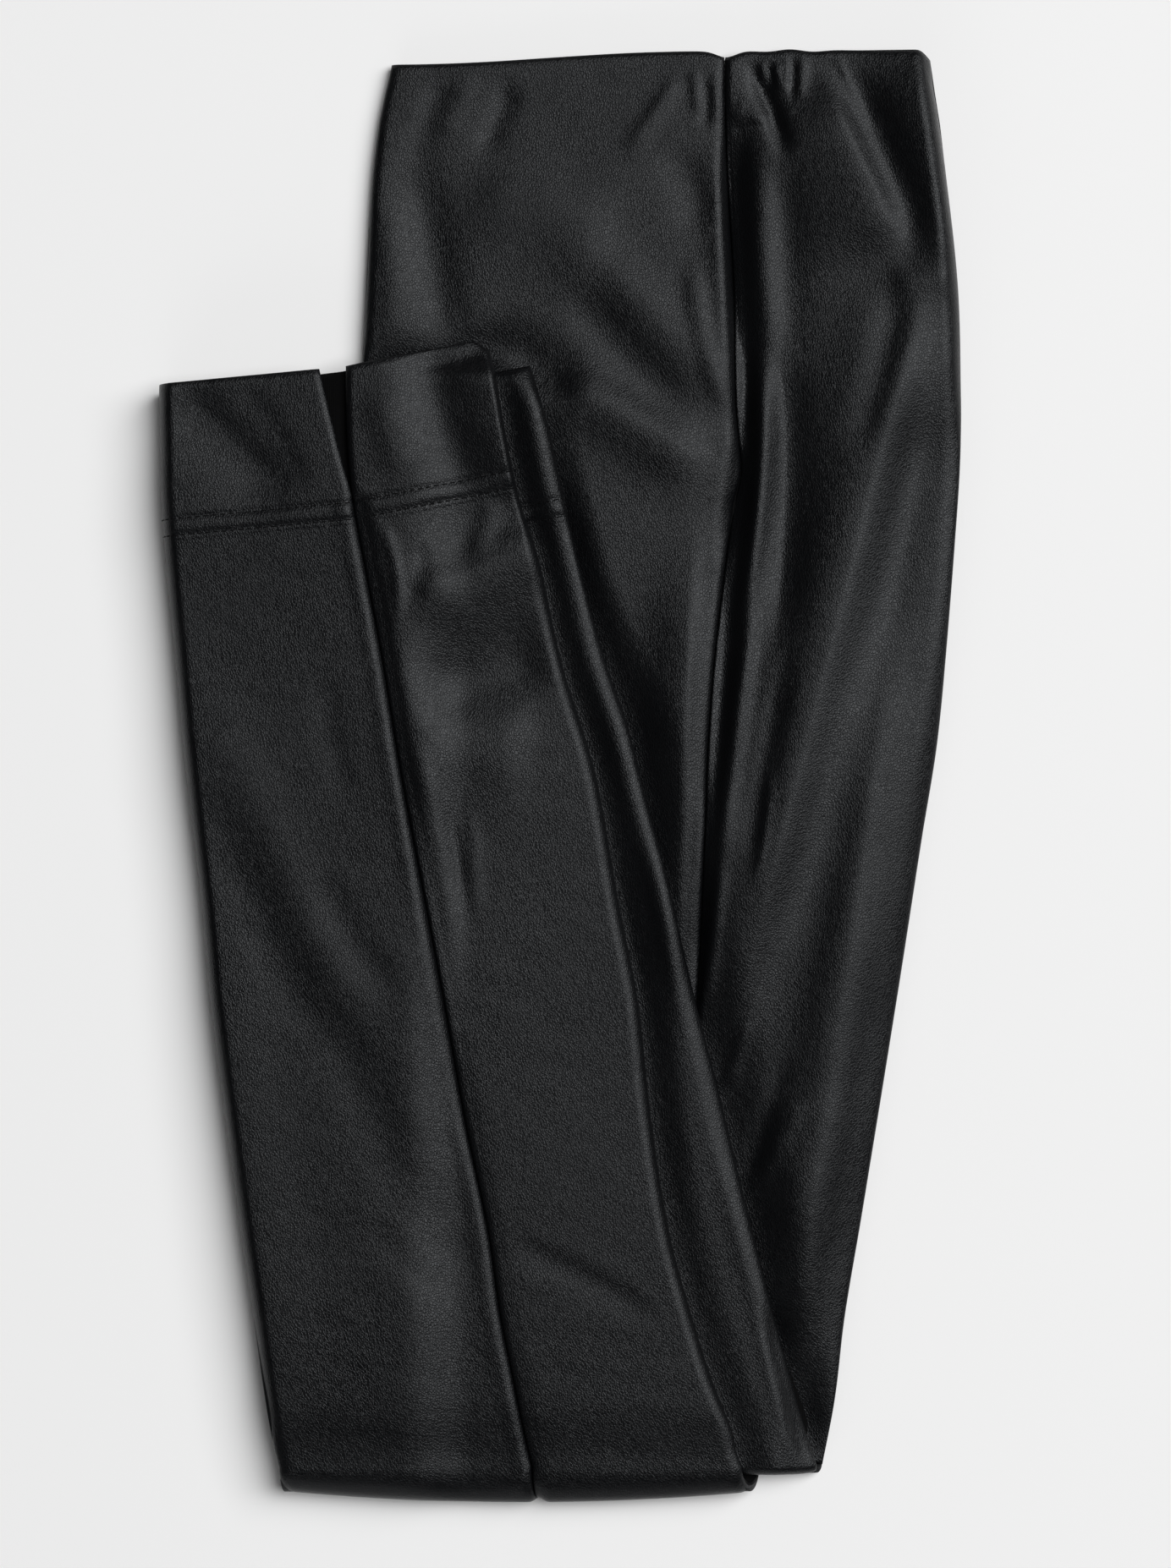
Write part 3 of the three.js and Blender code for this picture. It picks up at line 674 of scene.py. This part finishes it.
def hem_dents(from_hem):
    """The two stitched rows draw the cloth in, and the turned edge rounds over."""
    rows = sum(STITCH_DENT * np.exp(-(((from_hem - row) / 0.75) ** 2)) for row in STITCH_ROWS)
    puff = -0.22 * np.exp(-(((from_hem - 51.5) / 2.2) ** 2))
    step = 0.35 * soft((from_hem - 55) / 1.5)
    return rows + puff + step - 0.35 + 0.7 * np.exp(-((from_hem / 1.1) ** 2))


CREASE_FULL = {"front": 6, "back": 1.8}
HEM_ROUND = {"front": 5.5, "back": 2.6}
lower_angle, lower_share = columns(14, 70)
under_rows = np.linspace(WAIST_Y, FOLD_START, 40)
turn = np.linspace(0, math.pi, 26)[1:-1]
lower_rows = np.concatenate([np.arange(FOLD_START, 84, 1.6), np.arange(84, HEM_Y + 0.1, 0.75)])


def under_places(side, depth):
    y = under_rows[:, None] + 0 * lower_angle
    gap = SEAM_GAP / 2 if side == "back" else -SEAM_GAP / 2
    height = at(HEIGHT, "upper", y)
    half = mix(height / 4, height / 2 - SEAM_GAP / 2, hip_share(y))
    seam, edge = at(UNDER, "seam", y) + gap, at(UNDER, side, y)
    x, below = across(lower_angle, lower_share, edge, seam, ROUND["under"], half, depth)
    y = y + waist_line(x) * soft((y - WAIST_Y + 30) / 30)
    return np.stack([x, y, below], -1)


def top_rounding(side, y):
    """The back crease is sharper than the front one, and sharpest at the hem."""
    return mix(ROUND[f"lower_{side}"], HEM_ROUND[side], soft((y - 70) / 30))


def turned_places(side, depth):
    angle = turn[:, None] + 0 * lower_angle
    y0 = FOLD_START
    slide = (1 - np.cos(angle)) / 2
    edge = mix(at(UNDER, side, y0), at(LOWER, side, y0), slide)
    gap = SEAM_GAP / 2 if side == "back" else -SEAM_GAP / 2
    seam = mix(at(UNDER, "seam", y0), at(LOWER, "seam", y0), slide) + gap
    rounding = mix(ROUND["under"], top_rounding(side, FOLD_START), angle / math.pi)
    half = at(HEIGHT, "leg", y0) / 2
    x, below = across(lower_angle, lower_share, edge, seam, rounding, half, depth)
    below = below + seam_roll(abs(seam - x)) * slide
    height = lower_top(x, y0 + 0 * x)
    y = FOLD_START - (FOLD_START - fold_y(x) - below) * np.sin(angle)
    return np.stack([x, y, height / 2 - (height / 2 - below) * np.cos(angle)], -1)


def top_places(side, depth):
    y0 = lower_rows[:, None] + 0 * lower_angle
    gap = SEAM_GAP / 2 if side == "back" else -SEAM_GAP / 2
    slit = np.clip((y0 - HEM_Y + SLIT) / SLIT, 0, 1)
    slit = slit**1.15 * (SLIT_BACK if side == "back" else -SLIT_FRONT)

    def pick(y):
        seam = at(LOWER, "seam", y) + gap + slit
        half = at(HEIGHT, "leg", y) / 2 + CREASE_FULL[side] * soft((y - FOLD_START) / 30)
        rounding = top_rounding(side, y)
        return across(lower_angle, lower_share, at(LOWER, side, y), seam, rounding, half, depth)

    x, y, below = slanted(y0, pick)
    y = y - hem_corner(x, y, y0)
    to_seam = abs(at(LOWER, "seam", y) + gap + slit - x)
    z = lower_top(x, y) - below - seam_roll(to_seam) - hem_dents(HEM_Y - y0)
    return np.stack([x, y, z], -1)


def right_panel(side):
    grids = [
        np.concatenate([under_places(side, d), turned_places(side, d), top_places(side, d)])
        for d in (0, WALL)
    ]
    piece = wall_mesh(f"right_{side}_panel", *grids)
    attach(piece, "root")
    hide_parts(f"right_{side}")
    return piece


right_front = right_panel("front")
right_back = right_panel("back")

# ---- left leg past the fold ----
# The back crease of the left leg, where it comes out from under the right one: a soft roll of the
# left back panel from the fold to its hem, with the same turned hem and two rows of stitching.
STRIP_HIDDEN = 14
STRIP_SHORT = 12.6
INNER_FOLD_Y = -252.5
strip_angle, strip_share = columns(16, 24)
strip_rows = lower_rows - STRIP_SHORT * soft((lower_rows - 40) / 50)


def strip_places(depth):
    y0 = strip_rows[:, None] + 0 * strip_angle
    half = at(HEIGHT, "leg", y0) * mix(0.5, 0.9, soft((y0 - FOLD_START) / 30))

    def pick(y):
        hidden = at(LOWER, "back", y) - STRIP_HIDDEN
        edge = at(STRIP, "back", y)
        return across(strip_angle, strip_share, edge, hidden, ROUND["strip"], half, depth)

    x, y, below = slanted(y0, pick)
    return np.stack([x, y, strip_top(x, y) - below - hem_dents(HEM_Y - STRIP_SHORT - y0)], -1)


def strip_turned(depth):
    angle = turn[4:, None] + 0 * strip_angle
    y0 = FOLD_START
    edge = at(STRIP, "back", y0)
    half = at(HEIGHT, "leg", y0) / 2
    hidden = at(LOWER, "back", y0) - STRIP_HIDDEN
    x, below = across(strip_angle, strip_share, edge, hidden, ROUND["strip"], half, depth)
    x, below = x + 0 * angle, below + 0 * angle
    low, high = under_top(x, y0 + 0 * x), strip_top(x, y0 + 0 * x)
    y = FOLD_START - (FOLD_START - INNER_FOLD_Y - below * 0.6) * np.sin(angle)
    return np.stack([x, y, (low + high) / 2 - ((high - low) / 2 - below) * np.cos(angle)], -1)


strip = wall_mesh(
    "left_back_folded_panel",
    np.concatenate([strip_turned(0), strip_places(0)]),
    np.concatenate([strip_turned(WALL), strip_places(WALL)]),
)
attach(strip, "root")
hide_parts("left_back_folded")

# ---- hidden inner halves ----
# The inner halves of both legs, from the crotch down, round the fold and back up. They are of the
# same cloth and show only as layered edges down the creases and as black backing in the slit.
CROTCH_Y = 128
INSET = 1.4
CLEAR = 0.15
edge_angle = np.linspace(0.12, math.pi / 2, 7)
span_angle = np.concatenate([edge_angle, np.full(59, math.pi / 2), edge_angle[::-1]])[None, :]
span_share = np.concatenate([np.zeros(7), np.linspace(0, 1, 61)[1:-1], np.ones(7)])[None, :]


def spanned(front, back, rounding, half):
    """x of columns from crease to crease, and how far the rounded side has turned back there."""
    turned = rounding * (1 - np.cos(span_angle)) * np.sign(0.5 - span_share)
    flat_front, flat_back = front + rounding, back - rounding
    ends = np.where(span_share < 0.5, front, back) + turned
    flat = mix(flat_front, flat_back, span_share)
    x = np.where(span_angle < math.pi / 2 - 1e-9, ends, flat)
    return x, half * (1 - np.sin(span_angle))


def inner_layer(name, top, bottom):
    piece = wall_mesh(name, top, bottom, (6, -6))
    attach(piece, "root")
    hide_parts("inner_layers")
    return piece


def right_inner_above(y):
    """The right leg's inner half over its outer half, above the fold."""
    half = at(HEIGHT, "upper", y) / 4
    front, back = at(UNDER, "front", y) + CLEAR, at(UNDER, "back", y) - CLEAR
    x, turned = spanned(front, back, ROUND["under"], half)
    top = np.stack([x, y, under_top(x, y) - turned - CLEAR], -1)
    return top, np.stack([x, y, half + CLEAR + 0 * x], -1)


def left_inner_above(y):
    """The left leg's inner half under its outer half, above the fold."""
    front, back = at(UPPER, "front", y) + CLEAR, at(UPPER, "back", y) - CLEAR
    x, turned = spanned(front, back, ROUND["upper_back"], at(HEIGHT, "upper", y) / 4)
    low = under_top(x, y) + CLEAR
    high = upper_lip(x, y) - CLEAR
    bottom = np.minimum(low + turned, high - 0.2)
    return np.stack([x, y, high], -1), np.stack([x, y, bottom], -1)


def left_below(y0):
    """The left leg's two halves past the fold, inside the roll of its back crease."""
    y = y0 + climb(y0, at(LOWER, "front", y0) - at(LOWER, "seam", y0)) * (0.5 - span_share)
    front, back = at(LOWER, "front", y) + LEG_SHIFT, at(STRIP, "back", y) - INSET
    half = at(HEIGHT, "leg", y) / 2
    x, turned = spanned(front, back, ROUND["strip"], half)
    low = bed_top(x, y) + CLEAR
    high = strip_top(x, y) - CLEAR - WALL * soft((x - at(LOWER, "back", y) + STRIP_HIDDEN + 8) / 6)
    return np.stack([x, y, high - turned], -1), np.stack([x, y, low + turned * 0.8], -1)


def right_inner_below(y0):
    """The right leg's inner half under its outer half, past the fold."""
    y = y0 + 0 * span_share
    for _ in range(4):
        front, back = at(LOWER, "front", y) + CLEAR, at(LOWER, "back", y) - CLEAR
        x, turned = spanned(front, back, ROUND["lower"], at(HEIGHT, "leg", y0) / 2)
        y = y0 + climb(y0, x - at(LOWER, "seam", y0))
    y = y - hem_corner(x, y, y0)
    half = at(HEIGHT, "leg", y) / 2
    free = soft((at(UNDER, "front", y) - 2 - x) / 22) * soft((y - FOLD_START) / 30)
    near_back = soft((x - at(LOWER, "back", y) + 9) / 6)
    full = mix(CREASE_FULL["back"] * near_back, CREASE_FULL["front"], free)
    full = full * soft((y - FOLD_START) / 30)
    high = lower_top(x, y) - half - CLEAR - full
    low = mix(lower_top(x, y) - 2 * half, 0.6, free)
    return np.stack([x, y, high], -1), np.stack([x, y, np.minimum(low + turned, high - 0.2)], -1)


above = np.linspace(CROTCH_Y, FOLD_START, 120)[:, None] + 0 * span_angle
below_rows = np.linspace(FOLD_START, HEM_Y - 1.5, 200)[:, None] + 0 * span_angle
below_left = np.linspace(FOLD_START, HEM_Y - STRIP_SHORT - 2, 200)[:, None] + 0 * span_angle
inner_layer("right_inner_half_above", *right_inner_above(above))
inner_layer("left_inner_half_above", *left_inner_above(above))
inner_layer("left_halves_folded", *left_below(below_left))
inner_layer("right_inner_half_folded", *right_inner_below(below_rows))


def turned_layer(name, low, high, deep):
    """A layer from its row above the fold round to its row past it."""
    angle = np.linspace(0.02, math.pi - 0.02, 24)[:, None]
    slide = (1 - np.cos(angle)) / 2
    grids = []
    for start, end, depth in zip(low, high, deep):
        x = mix(start[None, :, 0], end[None, :, 0], slide)
        z = mix(start[None, :, 2], end[None, :, 2], slide)
        y = FOLD_START - depth * np.sin(angle) + 0 * x
        grids.append(np.stack([x, y, z], -1))
    return inner_layer(name, *grids)


station = np.full((1, span_angle.size), float(FOLD_START))
right_low, right_high = right_inner_above(station), right_inner_below(station)
left_low, left_high = left_inner_above(station), left_below(station)
turned_layer(
    "right_inner_half_turned",
    (right_low[1][0], right_low[0][0]),
    (right_high[0][0], right_high[1][0]),
    (9.6, 6.4),
)
turned_layer(
    "left_halves_turned",
    (left_low[1][0], left_low[0][0]),
    (left_high[0][0], left_high[1][0]),
    (3.3, 0.4),
)

# ---- hem stitching ----
# Two rows of black thread 6 mm apart hold the turned hem, a stitch every 3 mm. They go right round
# each leg, and are made here on the halves of it that show.
STITCH = 2.3
STITCH_PITCH = 3.0
THREAD = 0.52
THREAD_SIDES = 6
thread = bpy.data.materials.new("black_thread")
thread.use_nodes = True
thread_shader = thread.node_tree.nodes["Principled BSDF"]
thread_shader.inputs["Roughness"].default_value = 0.85
thread_shader.inputs["Specular IOR Level"].default_value = 0.08
thread_place = add_node(thread.node_tree, "ShaderNodeTexCoord").outputs["Object"]
thread_twist = add_node(thread.node_tree, "ShaderNodeTexWave", vector=thread_place, scale=900.0)
thread_tint = add_node(thread.node_tree, "ShaderNodeMix", data_type="RGBA")
thread.node_tree.links.new(thread_twist.outputs["Fac"], thread_tint.inputs["Factor"])
thread_tint.inputs["A"].default_value = (0.001, 0.001, 0.0012, 1)
thread_tint.inputs["B"].default_value = (0.004, 0.004, 0.0046, 1)
thread.node_tree.links.new(thread_tint.outputs["Result"], thread_shader.inputs["Base Color"])


def stitch_row(name, along, heading):
    """Short rounded stitches with their middles along a line, as one mesh."""
    around = np.linspace(0, 2 * math.pi, THREAD_SIDES + 1)[:-1]
    stations = np.array([-0.5, -0.36, 0, 0.36, 0.5])
    girth = np.array([0.3, 0.85, 1, 0.85, 0.3])
    sink = np.array([-0.5, -0.12, 0, -0.12, -0.5]) * THREAD
    points, faces = [], []
    for middle, way in zip(along, heading):
        side = np.cross((0, 0, 1), way)
        side /= np.linalg.norm(side)
        up = np.cross(way, side)
        first = len(points)
        for t, g, drop in zip(stations, girth, sink):
            centre = middle + way * t * STITCH + up * drop
            for a in around:
                points.append(centre + THREAD / 2 * g * (side * math.cos(a) + up * math.sin(a)))
        for k in range(len(stations) - 1):
            for a in range(THREAD_SIDES):
                b = (a + 1) % THREAD_SIDES
                row, above_row = first + THREAD_SIDES * k, first + THREAD_SIDES * (k + 1)
                faces.append((row + a, row + b, above_row + b, above_row + a))
        last = first + THREAD_SIDES * (len(stations) - 1)
        faces.append(tuple(first + a for a in range(THREAD_SIDES - 1, -1, -1)))
        faces.append(tuple(last + a for a in range(THREAD_SIDES)))
    mesh = bpy.data.meshes.new(name)
    mesh.from_pydata((np.array(points) * MM).tolist(), [], faces)
    mesh.shade_smooth()
    mesh.materials.append(thread)
    piece = bpy.data.objects.new(name, mesh)
    bpy.context.collection.objects.link(piece)
    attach(piece, "root")
    return piece


def surface_line(grid, row):
    """The places of a panel's grid row as a line of even stitches, with their headings."""
    line = grid[row]
    step = np.linalg.norm(np.diff(line, axis=0), axis=1)
    run = np.concatenate([[0], np.cumsum(step)])
    middles = np.arange(STITCH_PITCH / 2, run[-1] - STITCH_PITCH / 3, STITCH_PITCH)
    place = np.stack([np.interp(middles, run, line[:, k]) for k in range(3)], -1)
    ahead = np.stack([np.interp(middles + 0.6, run, line[:, k]) for k in range(3)], -1)
    back = np.stack([np.interp(middles - 0.6, run, line[:, k]) for k in range(3)], -1)
    way = (ahead - back) / np.linalg.norm(ahead - back, axis=1)[:, None]
    return place + (0, 0, 0.08), way


for side in ("front", "back"):
    grid = top_places(side, 0)
    for k, from_hem in enumerate(STITCH_ROWS):
        row = int(np.argmin(abs(lower_rows - (HEM_Y - from_hem))))
        stitch_row(f"right_{side}_stitches_{k + 1}", *surface_line(grid, row))
grid = strip_places(0)
for k, from_hem in enumerate(STITCH_ROWS):
    row = int(np.argmin(abs(strip_rows - (HEM_Y - STRIP_SHORT - from_hem))))
    stitch_row(f"left_back_stitches_{k + 1}", *surface_line(grid, row))

# ---- floor, light and camera ----
# A plain pale floor under soft studio light: a wide softbox to the back-crease side and above the
# waist, a weak one overhead and a low fill past the fold, with a camera straight above.
camera_data = bpy.data.cameras.new("camera")
camera = bpy.data.objects.new("camera", camera_data)
bpy.context.collection.objects.link(camera)
bpy.context.scene.camera = camera
CAMERA_HEIGHT = 1.9
VIEW_HEIGHT = 0.5655
CLOTH_HEIGHT = 0.012
camera.location = (0.00915, -0.0029, CAMERA_HEIGHT)
camera_data.sensor_fit = "VERTICAL"
camera_data.sensor_height = 24
camera_data.lens = camera_data.sensor_height * (CAMERA_HEIGHT - CLOTH_HEIGHT) / VIEW_HEIGHT
camera_data.clip_end = 10


def plain(name, color, roughness):
    material = bpy.data.materials.new(name)
    material.use_nodes = True
    shader = material.node_tree.nodes["Principled BSDF"]
    shader.inputs["Base Color"].default_value = (*color, 1)
    shader.inputs["Roughness"].default_value = roughness
    return material


FLOOR_SIZE = 4
floor_mesh = bpy.data.meshes.new("floor")
s = FLOOR_SIZE / 2
floor_mesh.from_pydata([(-s, -s, 0), (s, -s, 0), (s, s, 0), (-s, s, 0)], [], [(0, 1, 2, 3)])
floor = bpy.data.objects.new("floor", floor_mesh)
bpy.context.collection.objects.link(floor)
floor.location.z = -0.0002
floor_mesh.materials.append(plain("floor_paint", (0.88, 0.88, 0.88), 0.9))


def softbox(name, place, aim, size, power):
    light = bpy.data.lights.new(name, "AREA")
    light.shape = "RECTANGLE"
    light.size, light.size_y = size
    light.energy = power
    lamp = bpy.data.objects.new(name, light)
    bpy.context.collection.objects.link(lamp)
    lamp.location = place
    lamp.rotation_euler = (Vector(aim) - Vector(place)).to_track_quat("-Z", "Y").to_euler()


softbox("main_softbox", (4.6, 2.3, 7.5), (0, 0, 0), (6.6, 9.0), 1000)
softbox("overhead_softbox", (0.85, 0.45, 2.8), (0, 0, 0), (2.1, 1.9), 8)
softbox("low_fill", (-0.9, -3.0, 1.1), (0, 0, 0), (2.8, 1.2), 14)
world = bpy.data.worlds.new("studio")
bpy.context.scene.world = world
world.use_nodes = True
world.node_tree.nodes["Background"].inputs["Color"].default_value = (1, 1, 1, 1)
world.node_tree.nodes["Background"].inputs["Strength"].default_value = 0.05

view = bpy.context.scene.view_settings
view.view_transform = "Standard"
